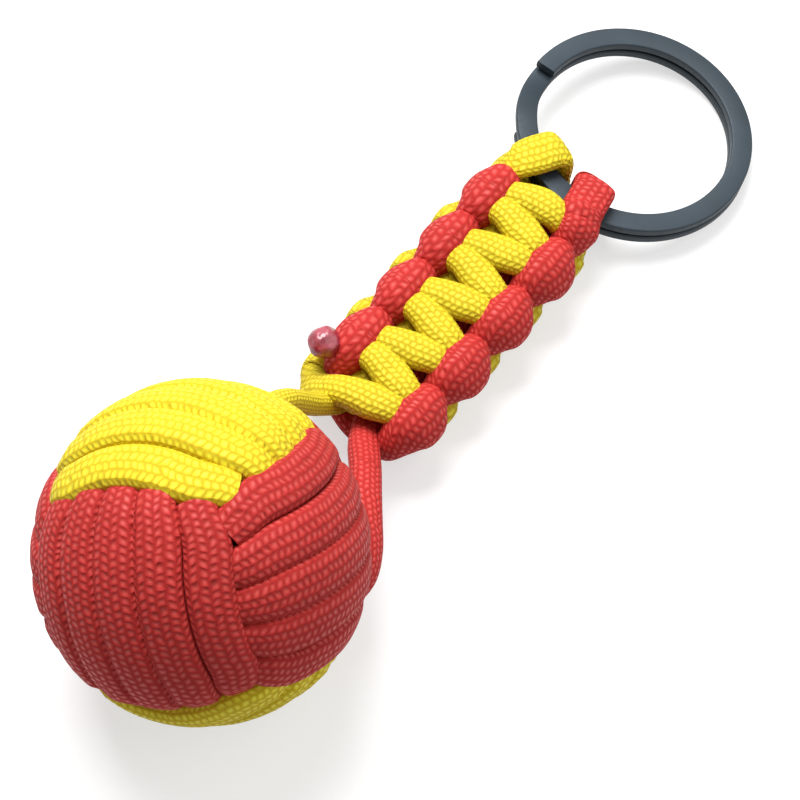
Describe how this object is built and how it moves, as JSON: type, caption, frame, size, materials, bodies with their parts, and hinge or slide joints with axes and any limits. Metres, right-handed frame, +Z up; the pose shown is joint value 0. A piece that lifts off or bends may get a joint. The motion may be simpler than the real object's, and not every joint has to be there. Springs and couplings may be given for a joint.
{
  "type": "paracord keychain",
  "caption": "Keychain of braided cord: a round woven ball, a flat woven handle and a flat split ring for keys.",
  "frame": {"origin": "under the middle of the bounding box, on the surface that the part lies on", "axes": "+X from the ball along the handle to the split ring, +Z up off the surface"},
  "size_m": [0.123, 0.04, 0.039],
  "materials": {
    "red_cord": "braided nylon, satin",
    "yellow_cord": "braided nylon, satin",
    "melted_red": "melted nylon, glossy",
    "melted_yellow": "melted nylon, glossy",
    "ring_metal": "black-plated steel, satin",
    "core_wood": "plain turned wood, hidden"
  },
  "bodies": {
    "handle": {"yellow_core_strand": "yellow_cord", "red_core_strand": "red_cord", "yellow_working_cord": "yellow_cord", "red_working_cord": "red_cord", "yellow_melted_end": "melted_yellow", "red_melted_end": "melted_red"},
    "legs": {"yellow_leg": "yellow_cord", "red_leg": "red_cord"},
    "fist": {"core_ball": "core_wood", "red_winding_front": "red_cord", "yellow_winding": "yellow_cord", "red_winding_side": "red_cord"},
    "ring_loops": {"yellow_ring_loop": "yellow_cord", "red_ring_loop": "red_cord"},
    "ring": {"split_ring": "ring_metal"}
  },
  "joints": [
    {"name": "fist_swing", "type": "hinge", "parent": "handle", "child": "legs", "pos_m": [-0.01153, 0.0017, 0.00561], "axis": [0, 0, 1], "range_deg": [-45, 45], "deforming": ["yellow_leg", "red_leg"]},
    {"name": "fist_fold", "type": "hinge", "parent": "legs", "child": "fist", "pos_m": [-0.01338, 0.0017, 0.00881], "axis": [0, 1, 0], "range_deg": [-75, 95], "deforming": ["yellow_leg", "red_leg"]},
    {"name": "ring_swing", "type": "hinge", "parent": "handle", "child": "ring_loops", "pos_m": [0.03106, 0.0017, 0.00561], "axis": [0, 1, 0], "range_deg": [-100, 100], "deforming": ["yellow_ring_loop", "red_ring_loop"]},
    {"name": "ring_spin", "type": "hinge", "parent": "ring_loops", "child": "ring", "pos_m": [0.04544, -0.0008, 0.00395], "axis": [0.112, -0.11, 0.9876], "continuous": true, "deforming": ["yellow_ring_loop", "red_ring_loop"]}
  ]
}
